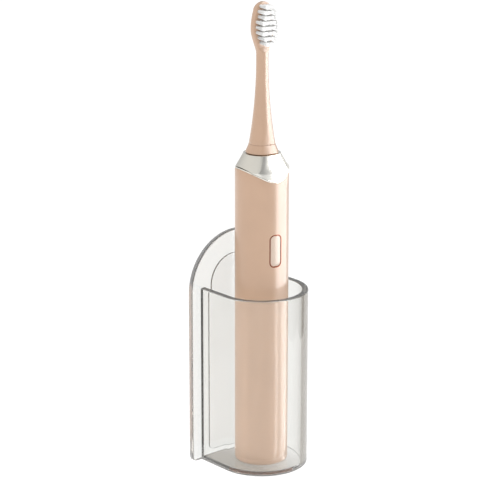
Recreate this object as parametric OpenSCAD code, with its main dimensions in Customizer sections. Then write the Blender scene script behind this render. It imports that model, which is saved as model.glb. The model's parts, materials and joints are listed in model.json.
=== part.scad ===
// Electric toothbrush standing in a clear wall-mounted cup.
// Origin: centre of the adhesive pad's back face, which is the wall plane.
// +Z is up, -Y is out of the wall towards the user, +X is to the right of someone facing the wall.
// The brush's own parts are drawn about the handle's axis, with z = 0 at the handle's underside
// and the button on the -Y side, and in_brush() stands them in the cup.

/* [Wall holder] */
// Width of the arched back plate
plate_w = 60.6; // [56:0.2:70]
// Height of the back plate, from its foot to the top of the arch
plate_h = 124; // [116:1:140]
// Thickness of the back plate
plate_t = 3.2; // [2.6:0.1:4.5]
// Corner radius at the foot of the back plate
plate_foot_r = 3; // [1:0.5:6]
// Outside width of the cup
cup_w = 49; // [46:0.2:54]
// Reach of the cup in front of the back plate
cup_reach = 44.8; // [42:0.2:52]
// Height of the cup
cup_h = 96.2; // [80:0.2:105]
// Thickness of the cup's wall
cup_t = 3.3; // [2.6:0.1:4]
// Thickness of the cup's floor
floor_t = 2; // [1.6:0.1:4]
// Width of the adhesive pad
pad_w = 31.2; // [26:0.2:40]
// Height of the adhesive pad
pad_h = 107.6; // [90:0.2:108]
// Thickness of the adhesive pad
pad_t = 1; // [0.5:0.1:1.5]

/* [Brush] */
// Height of the whole brush, from the handle's underside to the tip of the head
brush_h = 245; // [240:1:250]
// Turn of the brush in the cup, away from facing straight out of the wall
brush_turn = 9.7; // [0:0.1:30]
// Gap between the handle's underside and the cup's floor
stand_gap = 0.05; // [0.02:0.01:0.2]

/* [Handle] */
// Diameter of the handle
handle_d = 28; // [27.6:0.1:29]
// Wall of the handle's housing
shell_t = 1.6; // [1.4:0.1:1.8]
// Height of the lowest point of the collar's edge, at the front and the back
tongue_z = 153.8; // [153:0.1:156]
// Slope of the collar's edge towards its two sides
edge_slope = 29.8; // [26:0.1:31]
// Radius at the bottom of the collar's edge
edge_r = 12; // [8:0.5:14]
// Height at which the collar starts to narrow
collar_z = 159.3; // [158:0.1:161]
// Height of the collar's top face
collar_top_z = 167.2; // [166:0.05:169]
// Diameter of the collar's top face
collar_top_d = 19.2; // [18.2:0.1:20]
// Height of the bright edge trim under the collar
trim_h = 0.7; // [0.5:0.1:1]
// How far the trim and the button's ring stand proud of the handle
proud = 0.08; // [0.04:0.01:0.12]

/* [Button] */
// Width of the button's ring
ring_w = 7.2; // [6:0.1:7.5]
// Height of the button's ring
ring_h = 17.5; // [15:0.5:20]
// Corner radius of the button's ring
ring_r = 2.7; // [2:0.1:3]
// Thickness of the button's ring
ring_t = 0.5; // [0.4:0.05:0.7]
// Height of the button's centre
button_z = 117.65; // [112:0.05:119.5]
// Travel of the button
button_travel = 0.5; // [0.3:0.05:0.6]

/* [Brush head] */
// Height of the underside of the base ring
head_base_z = 167.6; // [167.4:0.05:168.2]
// Height of the joint line between base ring and sleeve
sleeve_z = 172; // [171.5:0.1:173]
// Diameter of the base ring at its foot
base_ring_d = 17.2; // [16.4:0.1:18]
// Diameter of the sleeve at its foot
sleeve_d = 13.6; // [12.8:0.1:14]
// Diameter of the neck
neck_d = 6.3; // [5.8:0.1:6.8]
// Length of the oval head plate
head_l = 23; // [21:0.5:25]
// Width of the head plate at its widest
head_w = 12.6; // [11.4:0.2:13]
// Thickness of the head plate
head_t = 5.4; // [4.6:0.1:5.4]
// Length of the tufts above the head plate
tuft_l = 7.5; // [6:0.5:9]
// Diameter of a tuft
tuft_d = 1.6; // [1.4:0.05:1.7]
// Spacing of the tufts along the head
tuft_pitch = 2.65; // [2.4:0.05:2.7]

/* [Drive] */
// Diameter of the drive shaft
shaft_d = 3.5; // [3.2:0.1:3.8]
// Radial clearance of the drive shaft in its bushes and in the brush head's socket
shaft_gap = 0.05; // [0.03:0.01:0.09]
// Diameter of the motor
motor_d = 19.2; // [18.4:0.2:19.4]
// Diameter of the battery cell
cell_d = 14.2; // [14:0.1:14.4]
// Length of the battery cell
cell_l = 49; // [48:0.5:60]
// Diameter of the charging socket in the handle's underside
socket_d = 9.5; // [9:0.1:10]
// Depth of the charging socket
socket_depth = 10; // [9:0.5:10]

/* [Hidden] */
$fn = 96;
eps = 0.02;
fine_fn = 360;

// Holder
pad_foot_z = 3;
pad_foot_r = 3;
pad_mid_z = pad_foot_z + pad_h / 2;
plate_front_y = -pad_t - plate_t;
cup_r = cup_w / 2;
cup_side = cup_reach - cup_r;
cup_axis_y = plate_front_y - cup_side;

// Handle
handle_r = handle_d / 2;
shell_in_r = handle_r - shell_t;
slip = 0.05;
cap_h = 3.2;
cap_edge_r = 1.8;
plug_r = shell_in_r - slip;
plug_t = 1.7;
plug_top_z = 9;
seal_z = 6;
seal_r = 0.5;
groove_h = 1.1;
groove_depth = 1.05;
socket_wall = 1.4;
socket_top_t = 1.5;
frame_r = shell_in_r - 0.2;
frame_t = 1;

// Collar facets: half depths of the flat front and back at the skirt's foot, where they bend, and at the top
facet_low_d = 12.95;
facet_bend_z = 159.8;
facet_bend_d = 12.2;
facet_top_d = 8.75;
nose_r = 4;
nose_top_z = 170.2;
skirt_low_z = 151;
skirt_top_z = 161;
skirt_t = 1.4;
collar_hollow_r = 6;
collar_hollow_top_z = 164.6;
shaft_seal_r = 2.9;
shaft_seal_low_z = collar_hollow_top_z + 0.2;

// Button, on the -Y side
button_gap = 0.12;
cap_w = ring_w - 2 * ring_t - 2 * button_gap;
cap_tall = ring_h - 2 * ring_t - 2 * button_gap;
cap_corner_r = ring_r - ring_t - button_gap;
flange_extra = 2.2;
flange_w = cap_w + flange_extra;
flange_in_r = 11.3;
flange_out_r = shell_in_r - 0.1;
flange_edge_y = -sqrt(pow(flange_in_r, 2) - pow(flange_w / 2, 2));

// Circuit board, standing in front of the battery
board_w = 17.6;
board_t = 1;
board_y = -8.2;
board_low_z = 17;
board_top_z = 126;
board_back_y = board_y + board_t;
board_screw_x = 7.5;
board_screw_z = [26, 104];
screw_r = 0.7;
screw_l = 2.8;
screw_head_r = 1;
screw_head_h = 0.7;
switch_w = 5;
switch_t = 1.7;
switch_hole_depth = button_travel + 0.3;
plunger_r = 1.2;
plunger_seat = 0.1;
lead_x = 3;

// Chassis, behind the board
frame_low_z = 14.5;
bulkhead_z = 128.2;
bulkhead_t = 1.2;
frame_top_z = 150;
rail_w = 2.6;
rail_x = 6.3;
rail_web_t = 1.5;
cell_y = 3.6;
cell_low_z = 20;
cell_cap_r = 2.4;
cell_cap_h = 0.6;

// Charging coil
boss_r = socket_d / 2 + socket_wall;
bobbin_in_r = boss_r + slip;
bobbin_t = 0.6;
bobbin_flange_r = 10;
bobbin_low_z = 4.4;
bobbin_top_z = 11.4;
coil_r = 9.6;
shield_z = 12.2;
shield_t = 1.4;

// Motor
motor_low_z = 129.5;
motor_top_z = 153.5;
motor_r = motor_d / 2;
can_t = 0.7;
bush_r = 4;
bush_h = 3;
rear_bush_seat = 0.6;
stator_in_r = 6.2;
stator_out_r = motor_r - can_t - 0.1;
rotor_r = 5.6;
coil_end_gap = 1;
rotor_end_gap = 2;
damper_z = [133, 147];
damper_h = 2;
shaft_r = shaft_d / 2;
shaft_bore_r = shaft_r + shaft_gap;
shaft_low_z = 129.8;
shaft_top_z = 190.5;
shaft_flat_z = 176;
shaft_flat_y = 1.25;

// Brush head
head_top_z = brush_h;
socket_out_r = 3;
socket_low_z = 173.5;
socket_high_z = 191;
hollow_r = 4.9;
sleeve_hollow_top_z = 177;
neck_r = neck_d / 2;
neck_arc_r = 250;
neck_arc_z = 215;
cone_slope = 0.16;
cone_top_z = neck_arc_z - cone_slope * neck_arc_r;
cone_top_r = neck_r + cone_slope * cone_slope * neck_arc_r / 2;
// Half depths of the flats at the front and back of the base ring and the sleeve
facet_ratio = 0.906;
ring_facet_d = base_ring_d / 2 * facet_ratio;
sleeve_facet_low_d = sleeve_d / 2 * facet_ratio;
sleeve_facet_top_d = 4.4;
sleeve_facet_top_z = 190;
plate_back = -3.6;
plate_front = -head_t - plate_back;
head_wide_z = head_top_z - 0.6 * head_l;
head_tip_r = 4.8;
head_wide_r = head_w / 2;
head_foot_z = head_top_z - head_l;
head_foot_lean = 28;
head_back_bevel = 7;
head_tip_back = 2.2;
head_foot_back = 1.4;
head_blend_h = 2.5;
neck_ramp_h = 4;
tuft_r = tuft_d / 2;
tuft_hole_gap = 0.02;
tuft_hole_depth = 1.6;
anchor_w = 1.2;
anchor_h = 0.5;
anchor_t = 0.2;
tuft_row_1_z = head_top_z - 2;
tuft_inner_drop = 0.6;
// Tufts in each row across the head, from the tip down, and how far apart they stand
tuft_rows = [3, 4, 4, 5, 5, 5, 4, 3];
tuft_across = 2.1;

// ---------------------------------------------------------------- helpers

// Stands the brush's own parts in the cup
module in_brush() {
  translate([0, cup_axis_y, floor_t + stand_gap - pad_mid_z])
    rotate([0, 0, -brush_turn])
      children();
}

// Places the holder's parts, drawn with z = 0 at the foot of the plate
module in_holder() {
  translate([0, 0, -pad_mid_z])
    children();
}

// Rounded rectangle, centred
module rounded_rect(w, h, r) {
  square([w - 2 * r, h], center = true);
  square([w, h - 2 * r], center = true);
  for (sx = [-1, 1]) {
    for (sy = [-1, 1]) {
      translate([sx * (w / 2 - r), sy * (h / 2 - r)])
        circle(r);
    }
  }
}

// Outline with a round top and rounded foot corners, standing on z = 0
module arched(w, h, foot_r) {
  half_w = w / 2;
  arch_z = h - half_w;
  translate([0, arch_z])
    circle(half_w, $fn = fine_fn);
  translate([-half_w, foot_r])
    square([w, arch_z - foot_r]);
  translate([-half_w + foot_r, 0])
    square([w - 2 * foot_r, foot_r + eps]);
  for (s = [-1, 1]) {
    translate([s * (half_w - foot_r), foot_r])
      circle(foot_r);
  }
}

// Sets an outline drawn in x and z upright, and gives it a depth towards -Y from y_front to y_back
module upright(y_front, y_back) {
  translate([0, y_back, 0])
    rotate([90, 0, 0])
      linear_extrude(y_back - y_front)
        children();
}

// Sets an outline drawn in y and z upright, across the whole width
module across(width) {
  rotate([90, 0, 90])
    linear_extrude(width, center = true)
      children();
}

// Round tube
module tube(r_out, r_in, z_low, z_top) {
  translate([0, 0, z_low])
    difference() {
      cylinder(h = z_top - z_low, r = r_out);
      translate([0, 0, -1])
        cylinder(h = z_top - z_low + 2, r = r_in);
    }
}

// Round bar between two points that differ in one or more axes
module bar(a, b, r) {
  d = b - a;
  len = norm(d);
  translate(a)
    rotate([0, acos(d[2] / len), atan2(d[1], d[0])])
      cylinder(h = len, r = r, $fn = 24);
}

// Outline of the cup, or of the space inside it: straight sides from the plate, and a half round front
module cup_outline(inset) {
  r = cup_r - inset;
  intersection() {
    union() {
      translate([0, cup_axis_y])
        circle(r, $fn = fine_fn);
      translate([-r, cup_axis_y])
        square([2 * r, cup_side]);
    }
    translate([-cup_w, plate_front_y - 2 * cup_w])
      square([2 * cup_w, 2 * cup_w]);
  }
}

// Everything above the collar's edge: two slopes that meet in a round bottom
module above_edge(lift) {
  reach = handle_d;
  tip_z = tongue_z + lift - edge_r * (1 / cos(edge_slope) - 1);
  touch_x = edge_r * sin(edge_slope);
  touch_z = tip_z + touch_x * tan(edge_slope);
  side_z = tip_z + reach * tan(edge_slope);
  polygon([
    [-touch_x, touch_z],
    [touch_x, touch_z],
    [reach, side_z],
    [reach, brush_h],
    [-reach, brush_h],
    [-reach, side_z]
  ]);
  translate([0, tongue_z + lift + edge_r])
    circle(edge_r, $fn = fine_fn);
}

// Block that leaves the flats at the front and back of the base ring and the sleeve,
// and slopes the front of the neck down to the head plate's face
module sleeve_flats() {
  across(handle_d)
    polygon([
      [-ring_facet_d, head_base_z - eps],
      [ring_facet_d, head_base_z - eps],
      [sleeve_facet_low_d, sleeve_z],
      [sleeve_facet_top_d, sleeve_facet_top_z],
      [handle_r, sleeve_facet_top_z + eps],
      [handle_r, brush_h + 1],
      [plate_front, brush_h + 1],
      [plate_front, head_foot_z + 1],
      [-neck_r - eps, head_foot_z - neck_ramp_h],
      [-handle_r, head_foot_z - neck_ramp_h],
      [-handle_r, sleeve_facet_top_z + eps],
      [-sleeve_facet_top_d, sleeve_facet_top_z],
      [-sleeve_facet_low_d, sleeve_z]
    ]);
}

// Runs its children at every tuft of the chosen kind: the outer ring, or the ones inside it
module at_tufts(outer) {
  rows = len(tuft_rows);
  for (i = [0 : rows - 1]) {
    n = tuft_rows[i];
    for (j = [0 : n - 1]) {
      is_outer = i == 0 || i == rows - 1 || j == 0 || j == n - 1;
      if (is_outer == outer) {
        translate([(j - (n - 1) / 2) * tuft_across, 0, tuft_row_1_z - i * tuft_pitch])
          children();
      }
    }
  }
}

// Round bar along -Y, from y_from out to y_to
module peg(y_from, y_to, r) {
  translate([0, y_from, 0])
    rotate([90, 0, 0])
      cylinder(h = y_from - y_to, r = r, $fn = 24);
}

// ---------------------------------------------------------------- holder

// Clear arched plate that carries the cup
module back_plate() {
  color("whitesmoke", 0.4)
    in_holder()
      upright(plate_front_y, -pad_t)
        arched(plate_w, plate_h, plate_foot_r);
}

// Clear wall of the cup, bonded to the plate's front
module cup_wall() {
  color("whitesmoke", 0.4)
    in_holder()
      linear_extrude(cup_h)
        difference() {
          cup_outline(0);
          cup_outline(cup_t);
        }
}

// Clear floor inside the wall
module cup_floor() {
  color("whitesmoke", 0.4)
    in_holder()
      linear_extrude(floor_t)
        cup_outline(cup_t);
}

// Double-sided pad that sticks the plate to the wall
module adhesive_pad() {
  color("gainsboro", 0.6)
    in_holder()
      translate([0, 0, pad_foot_z])
        upright(-pad_t, 0)
          arched(pad_w, pad_h, pad_foot_r);
}

// ---------------------------------------------------------------- handle

// Tubular housing, cut to the collar's edge at the top and open at the foot
module handle_housing() {
  color("tan")
    in_brush()
      difference() {
        tube(handle_r, shell_in_r, cap_h, collar_top_z);
        upright(-handle_d, handle_d)
          above_edge(0);
        upright(-handle_d, 0)
          translate([0, button_z])
            rounded_rect(ring_w, ring_h, ring_r);
      }
}

// Silver collar: a cone with a flat front and back and a skirt inside the housing
module collar() {
  block_low_z = skirt_low_z - 1;
  color("silver")
    in_brush()
      difference() {
        intersection() {
          union() {
            intersection() {
              rotate_extrude()
                polygon([
                  [0, tongue_z],
                  [handle_r, tongue_z],
                  [handle_r, collar_z],
                  [collar_top_d / 2, collar_top_z],
                  [0, collar_top_z]
                ]);
              upright(-handle_d, handle_d)
                above_edge(trim_h);
            }
            translate([0, 0, skirt_low_z])
              cylinder(h = skirt_top_z - skirt_low_z, r = plug_r);
            translate([0, 0, skirt_top_z])
              cylinder(h = nose_top_z - skirt_top_z, r = nose_r);
          }
          across(handle_d + 2)
            polygon([
              [-facet_low_d, block_low_z],
              [facet_low_d, block_low_z],
              [facet_bend_d, facet_bend_z],
              [facet_top_d, collar_top_z],
              [facet_top_d, nose_top_z + 1],
              [-facet_top_d, nose_top_z + 1],
              [-facet_top_d, collar_top_z],
              [-facet_bend_d, facet_bend_z]
            ]);
        }
        rotate_extrude()
          polygon([
            [0, skirt_low_z - 1],
            [plug_r - skirt_t, skirt_low_z - 1],
            [plug_r - skirt_t, tongue_z],
            [collar_hollow_r, collar_hollow_top_z],
            [0, collar_hollow_top_z]
          ]);
        translate([0, 0, collar_z])
          cylinder(h = handle_d, r = shaft_seal_r);
      }
}

// Bright bevelled trim along the collar's edge
module collar_trim() {
  color("white")
    in_brush()
      difference() {
        tube(handle_r + proud, shell_in_r, tongue_z - 1, collar_z + 4);
        upright(-handle_d, handle_d)
          above_edge(trim_h);
        upright(-handle_d, handle_d)
          difference() {
            translate([-handle_d, 0])
              square([2 * handle_d, brush_h]);
            above_edge(0);
          }
      }
}

// Cap that closes the foot, with the charging socket's boss in its middle
module bottom_cap() {
  color("tan")
    in_brush()
      rotate_extrude()
        difference() {
          union() {
            translate([0, cap_edge_r])
              square([handle_r, cap_h - cap_edge_r]);
            square([handle_r - cap_edge_r, cap_edge_r + eps]);
            translate([handle_r - cap_edge_r, cap_edge_r])
              intersection() {
                circle(cap_edge_r);
                translate([-eps, -cap_edge_r])
                  square([cap_edge_r + eps, cap_edge_r + eps]);
              }
            translate([plug_r - plug_t, cap_h - eps])
              square([plug_t, plug_top_z - cap_h + eps]);
            square([boss_r, socket_depth + socket_top_t]);
          }
          translate([-eps, -1])
            square([socket_d / 2 + eps, socket_depth + 1]);
          translate([plug_r - groove_depth, seal_z - groove_h / 2])
            square([2 * groove_depth, groove_h]);
        }
}

// Rubber ring between cap and housing
module base_seal() {
  color("dimgray")
    in_brush()
      translate([0, 0, seal_z])
        rotate_extrude()
          translate([shell_in_r - eps - seal_r, 0])
            circle(seal_r, $fn = 32);
}

// Copper ring round the button
module button_bezel() {
  color("sienna")
    in_brush()
      intersection() {
        tube(handle_r + proud, plug_r, button_z - ring_h, button_z + ring_h);
        upright(-handle_d, 0)
          translate([0, button_z])
            difference() {
              rounded_rect(ring_w, ring_h, ring_r);
              rounded_rect(ring_w - 2 * ring_t, ring_h - 2 * ring_t, ring_r - ring_t);
            }
      }
}

// Silicone pad on the board, round the switch, that the pressed button's flange just clears
module button_seal() {
  pad_front_y = flange_edge_y + button_travel + 0.15;
  rim = 1;
  color("gainsboro")
    in_brush()
      upright(pad_front_y, board_y)
        translate([0, button_z])
          difference() {
            rounded_rect(switch_w + 3.4, switch_w + 9, 2 * rim);
            rounded_rect(switch_w + 3.4 - 2 * rim, switch_w + 3, rim);
          }
}

// Inner frame: back half shell, floor, bulkhead and the two rails that hold the board
module chassis() {
  color("darkseagreen")
    in_brush() {
      difference() {
        union() {
          translate([0, 0, frame_low_z])
            cylinder(h = bulkhead_t, r = frame_r);
          translate([0, 0, bulkhead_z])
            cylinder(h = bulkhead_t, r = frame_r);
          intersection() {
            tube(frame_r, frame_r - frame_t, frame_low_z, frame_top_z);
            translate([-handle_d, 0, 0])
              cube([2 * handle_d, handle_d, brush_h]);
          }
          intersection() {
            translate([0, 0, frame_low_z])
              cylinder(h = bulkhead_z - frame_low_z + eps, r = frame_r);
            for (s = [0, 1]) {
              mirror([s, 0, 0]) {
                translate([rail_x, board_back_y, frame_low_z])
                  cube([rail_w, -board_back_y, brush_h]);
                translate([rail_x, -rail_web_t, frame_low_z])
                  cube([handle_r, rail_web_t + eps, brush_h]);
              }
            }
          }
        }
        for (z = board_screw_z) {
          for (s = [-1, 1]) {
            translate([s * board_screw_x, board_back_y + 3, z])
              peg(0, -5, screw_r);
          }
        }
        // Slots at the front of the floor for the coil's leads
        for (s = [-1, 1]) {
          translate([s * lead_x - 1, -handle_d, frame_low_z - 1])
            cube([2, handle_d - 10, bulkhead_t + 2]);
        }
      }
    }
}

// Front half shell that holds the motor in the chassis
module motor_clamp() {
  color("darkseagreen")
    in_brush()
      intersection() {
        tube(frame_r, frame_r - frame_t, bulkhead_z + bulkhead_t, frame_top_z);
        translate([-handle_d, -handle_d, 0])
          cube([2 * handle_d, handle_d, brush_h]);
      }
}

// Four small screws through the board into the rails
module board_screws() {
  slot_w = 0.3;
  color("silver")
    in_brush()
      for (z = board_screw_z) {
        for (s = [-1, 1]) {
          translate([s * board_screw_x, 0, z])
            difference() {
              union() {
                peg(board_back_y + screw_l, board_y, screw_r);
                peg(board_y, board_y - screw_head_h, screw_head_r);
              }
              translate([-2 * screw_head_r, board_y - screw_head_h - eps, -slot_w / 2])
                cube([4 * screw_head_r, slot_w, slot_w]);
            }
        }
      }
}

// Rechargeable cell
module battery_cell() {
  color("steelblue")
    in_brush()
      translate([0, cell_y, cell_low_z]) {
        cylinder(h = cell_l, r = cell_d / 2);
        cylinder(h = cell_l + cell_cap_h, r = cell_cap_r);
      }
}

// Welded tabs from the cell's ends to the board
module battery_tabs() {
  tab_t = 0.2;
  tab_w = 4;
  tab_l = cell_y - board_back_y + 2;
  color("lightgray")
    in_brush()
      for (z = [cell_low_z - tab_t, cell_low_z + cell_l + cell_cap_h]) {
        translate([-tab_w / 2, board_back_y, z])
          cube([tab_w, tab_l, tab_t]);
      }
}

// Circuit board
module circuit_board() {
  color("seagreen")
    in_brush()
      difference() {
        upright(board_y, board_back_y)
          translate([-board_w / 2, board_low_z])
            square([board_w, board_top_z - board_low_z]);
        for (z = board_screw_z) {
          for (s = [-1, 1]) {
            translate([s * board_screw_x, board_back_y + 1, z])
              peg(0, -4, screw_r + 0.05);
          }
        }
      }
}

// Chips and other parts soldered to the board's front
module board_parts() {
  // Each entry is [x, z, width, height, depth]
  parts = [
    [0, 92, 5, 5, 0.9],
    [-4.5, 80, 3, 4, 1.1],
    [3.5, 78, 4, 4, 2],
    [0, 60, 6, 3, 1.2],
    [-3.5, 45, 2, 3.2, 0.8],
    [0.5, 45, 2, 3.2, 0.8],
    [4.5, 45, 2, 3.2, 0.8],
    [0, 33, 4, 5, 1.4]
  ];
  color("dimgray")
    in_brush()
      for (p = parts) {
        translate([p[0] - p[2] / 2, board_y - p[4], p[1] - p[3] / 2])
          cube([p[2], p[4], p[3]]);
      }
}

// Small push switch behind the button
module tact_switch() {
  color("lightgray")
    in_brush()
      translate([0, 0, button_z])
        difference() {
          translate([-switch_w / 2, board_y - switch_t, -switch_w / 2])
            cube([switch_w, switch_t, switch_w]);
          peg(board_y - switch_t + switch_hole_depth, board_y - switch_t - 1, plunger_r + 0.1);
        }
}

// Leads from the charging coil, and from the motor, to the board
module lead_wires() {
  wire_r = 0.4;
  bend_r = 0.48;
  coil_y = -9.35;
  out_y = -11.2;
  coil_lead_z = 10.2;
  board_lead_z = 18.6;
  motor_pad_z = 124;
  color("firebrick")
    in_brush()
      for (s = [-1, 1]) {
        x = s * lead_x;
        bar([x, coil_y, coil_lead_z], [x, out_y, coil_lead_z], wire_r);
        bar([x, out_y, coil_lead_z], [x, out_y, board_lead_z], wire_r);
        bar([x, out_y, board_lead_z], [x, board_y, board_lead_z], wire_r);
        bar([x * 2, board_y, motor_pad_z], [x * 2, board_y - 1.2, motor_pad_z], wire_r);
        for (z = [coil_lead_z, board_lead_z]) {
          translate([x, out_y, z])
            sphere(bend_r, $fn = 24);
        }
      }
}

// Winding that picks up the charger's field
module charging_coil() {
  color("chocolate")
    in_brush()
      tube(coil_r, bobbin_in_r + bobbin_t, bobbin_low_z + bobbin_t, bobbin_top_z - bobbin_t);
}

// Flanged bobbin on the socket's boss
module coil_bobbin() {
  color("ivory")
    in_brush()
      rotate_extrude() {
        translate([bobbin_in_r, bobbin_low_z])
          square([bobbin_t, bobbin_top_z - bobbin_low_z]);
        translate([bobbin_in_r, bobbin_low_z])
          square([bobbin_flange_r - bobbin_in_r, bobbin_t]);
        translate([bobbin_in_r, bobbin_top_z - bobbin_t])
          square([bobbin_flange_r - bobbin_in_r, bobbin_t]);
      }
}

// Ferrite disc above the coil
module coil_shield() {
  color("dimgray")
    in_brush()
      translate([0, 0, shield_z])
        cylinder(h = shield_t, r = bobbin_flange_r);
}

// ---------------------------------------------------------------- motor

// Drawn steel can, open at the foot, with a seat for the front bush
module motor_can() {
  color("silver")
    in_brush()
      difference() {
        translate([0, 0, motor_low_z])
          cylinder(h = motor_top_z - motor_low_z, r = motor_r);
        translate([0, 0, motor_low_z - 1])
          cylinder(h = motor_top_z - motor_low_z + 1 - can_t - bush_h, r = motor_r - can_t);
        translate([0, 0, motor_top_z - 8])
          cylinder(h = 10, r = bush_r);
      }
}

// Plate that closes the motor and holds the rear bush
module motor_end_cap() {
  color("darkgray")
    in_brush()
      tube(motor_r - can_t, bush_r, motor_low_z, motor_low_z + bush_h);
}

// Stator winding
module motor_coil() {
  color("chocolate")
    in_brush()
      tube(
        stator_out_r,
        stator_in_r,
        motor_low_z + bush_h + coil_end_gap,
        motor_top_z - bush_h - can_t - coil_end_gap
      );
}

// Rubber rings that keep the motor's buzz out of the handle
module motor_dampers() {
  color("dimgray")
    in_brush()
      for (z = damper_z) {
        tube(frame_r - frame_t - eps, motor_r + eps, z, z + damper_h);
      }
}

// Bush at the motor's nose
module front_bush() {
  color("goldenrod")
    in_brush()
      tube(bush_r, shaft_bore_r, motor_top_z - bush_h, motor_top_z);
}

// Bush in the motor's end cap
module rear_bush() {
  color("goldenrod")
    in_brush()
      tube(bush_r, shaft_bore_r, motor_low_z + rear_bush_seat, motor_low_z + bush_h);
}

// Rubber seal round the shaft, in the collar's nose
module shaft_seal() {
  color("dimgray")
    in_brush()
      tube(shaft_seal_r - eps / 2, shaft_bore_r, shaft_seal_low_z, nose_top_z - 0.2);
}

// ---------------------------------------------------------------- button

// Push button, flush with the handle, with a flange that keeps it in
module button_cap() {
  color("tan")
    in_brush() {
      intersection() {
        tube(handle_r, flange_in_r, button_z - ring_h, button_z + ring_h);
        upright(-handle_d, 0)
          translate([0, button_z])
            rounded_rect(cap_w, cap_tall, cap_corner_r);
      }
      intersection() {
        tube(flange_out_r, flange_in_r, button_z - ring_h, button_z + ring_h);
        upright(-handle_d, 0)
          translate([0, button_z])
            rounded_rect(flange_w, cap_tall + flange_extra, cap_corner_r + 1);
      }
    }
}

// Plunger of the switch, which the button pushes
module switch_plunger() {
  color("dimgray")
    in_brush()
      translate([0, 0, button_z])
        peg(board_y - switch_t + plunger_seat, -flange_in_r + plunger_seat, plunger_r);
}

// ---------------------------------------------------------------- drive

// Steel shaft with a flat where the brush head grips it
module drive_shaft() {
  color("silver")
    in_brush()
      difference() {
        translate([0, 0, shaft_low_z])
          cylinder(h = shaft_top_z - shaft_low_z, r = shaft_r);
        translate([-shaft_d, shaft_flat_y, shaft_flat_z])
          cube([2 * shaft_d, shaft_d, shaft_top_z]);
      }
}

// Magnet block on the shaft
module rotor_magnet() {
  color("darkslategray")
    in_brush()
      tube(
        rotor_r,
        shaft_r,
        motor_low_z + bush_h + rotor_end_gap,
        motor_top_z - bush_h - can_t - rotor_end_gap
      );
}

// ---------------------------------------------------------------- brush head

// Outline of the oval head plate, wider towards the neck
module head_outline() {
  tip_z = head_top_z - head_tip_r;
  neck_in_r = neck_r * 0.9;
  // Half width along the head follows two circles joined by their common tangents
  d = tip_z - head_wide_z;
  lean = asin((head_wide_r - head_tip_r) / d);
  translate([0, tip_z])
    circle(head_tip_r);
  translate([0, head_wide_z])
    circle(head_wide_r);
  polygon([
    [head_tip_r * cos(lean), tip_z + head_tip_r * sin(lean)],
    [head_wide_r * cos(lean), head_wide_z + head_wide_r * sin(lean)],
    [-head_wide_r * cos(lean), head_wide_z + head_wide_r * sin(lean)],
    [-head_tip_r * cos(lean), tip_z + head_tip_r * sin(lean)]
  ]);
  polygon([
    [head_wide_r * cos(head_foot_lean), head_wide_z - head_wide_r * sin(head_foot_lean)],
    [neck_in_r, head_foot_z - head_blend_h],
    [-neck_in_r, head_foot_z - head_blend_h],
    [-head_wide_r * cos(head_foot_lean), head_wide_z - head_wide_r * sin(head_foot_lean)]
  ]);
}

// One-piece sleeve, neck and head plate
module brush_sleeve() {
  color("tan")
    in_brush()
      difference() {
        union() {
          intersection() {
            rotate_extrude()
              difference() {
                polygon([
                  [0, sleeve_z],
                  [sleeve_d / 2, sleeve_z],
                  [cone_top_r, cone_top_z],
                  [cone_top_r, neck_arc_z],
                  [neck_r, neck_arc_z],
                  [neck_r, head_foot_z + 1],
                  [0, head_foot_z + 1]
                ]);
                translate([neck_r + neck_arc_r, neck_arc_z])
                  circle(neck_arc_r, $fn = fine_fn);
              }
            sleeve_flats();
          }
          // Head plate: the oval, trimmed to a back that curves away at both ends
          intersection() {
            upright(plate_front, -plate_back)
              head_outline();
            across(head_w + 2)
              polygon([
                [plate_front, head_foot_z + 3],
                [plate_front, head_top_z],
                [head_tip_back, head_top_z],
                [-plate_back, head_top_z - head_back_bevel],
                [-plate_back, head_foot_z + 3],
                [head_foot_back, head_foot_z - 3],
                [-head_foot_back, head_foot_z - 3]
              ]);
          }
        }
        translate([0, 0, sleeve_z - 1])
          cylinder(h = sleeve_hollow_top_z - sleeve_z + 1, r = hollow_r);
        translate([0, 0, sleeve_z])
          cylinder(h = socket_high_z - sleeve_z, r = socket_out_r);
        for (outer = [true, false]) {
          at_tufts(outer)
            peg(plate_front + tuft_hole_depth, plate_front - 1, tuft_r + tuft_hole_gap);
        }
      }
}

// Separate ring at the sleeve's foot
module base_ring() {
  color("burlywood")
    in_brush()
      intersection() {
        rotate_extrude()
          polygon([
            [hollow_r, head_base_z],
            [base_ring_d / 2, head_base_z],
            [sleeve_d / 2, sleeve_z],
            [hollow_r, sleeve_z]
          ]);
        sleeve_flats();
      }
}

// Moulded socket inside the sleeve that grips the shaft's flat
module shaft_socket() {
  color("ivory")
    in_brush()
      difference() {
        translate([0, 0, socket_low_z])
          cylinder(h = socket_high_z - socket_low_z, r = socket_out_r);
        translate([0, 0, socket_low_z - 1])
          cylinder(h = shaft_flat_z + 1.5 - socket_low_z, r = shaft_bore_r);
        intersection() {
          translate([0, 0, socket_low_z - 1])
            cylinder(h = shaft_top_z + 1.2 - socket_low_z, r = shaft_bore_r);
          translate([-handle_r, -handle_r, 0])
            cube([handle_d, handle_r + shaft_flat_y + shaft_gap, brush_h]);
        }
      }
}

// Tufts round the edge of the head
module outer_tufts() {
  color("white")
    in_brush()
      at_tufts(true)
        peg(plate_front + tuft_hole_depth - anchor_h, plate_front - tuft_l, tuft_r);
}

// Tufts inside the outer ring, a little shorter
module inner_tufts() {
  color("aliceblue")
    in_brush()
      at_tufts(false)
        peg(plate_front + tuft_hole_depth - anchor_h, plate_front - tuft_l + tuft_inner_drop, tuft_r);
}

// Metal anchor plates that hold each folded tuft in its hole
module tuft_anchors() {
  color("gold")
    in_brush()
      for (outer = [true, false]) {
        at_tufts(outer)
          translate([-anchor_w / 2, plate_front + tuft_hole_depth - anchor_h, -anchor_t / 2])
            cube([anchor_w, anchor_h, anchor_t]);
      }
}

// ---------------------------------------------------------------- nodes

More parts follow.
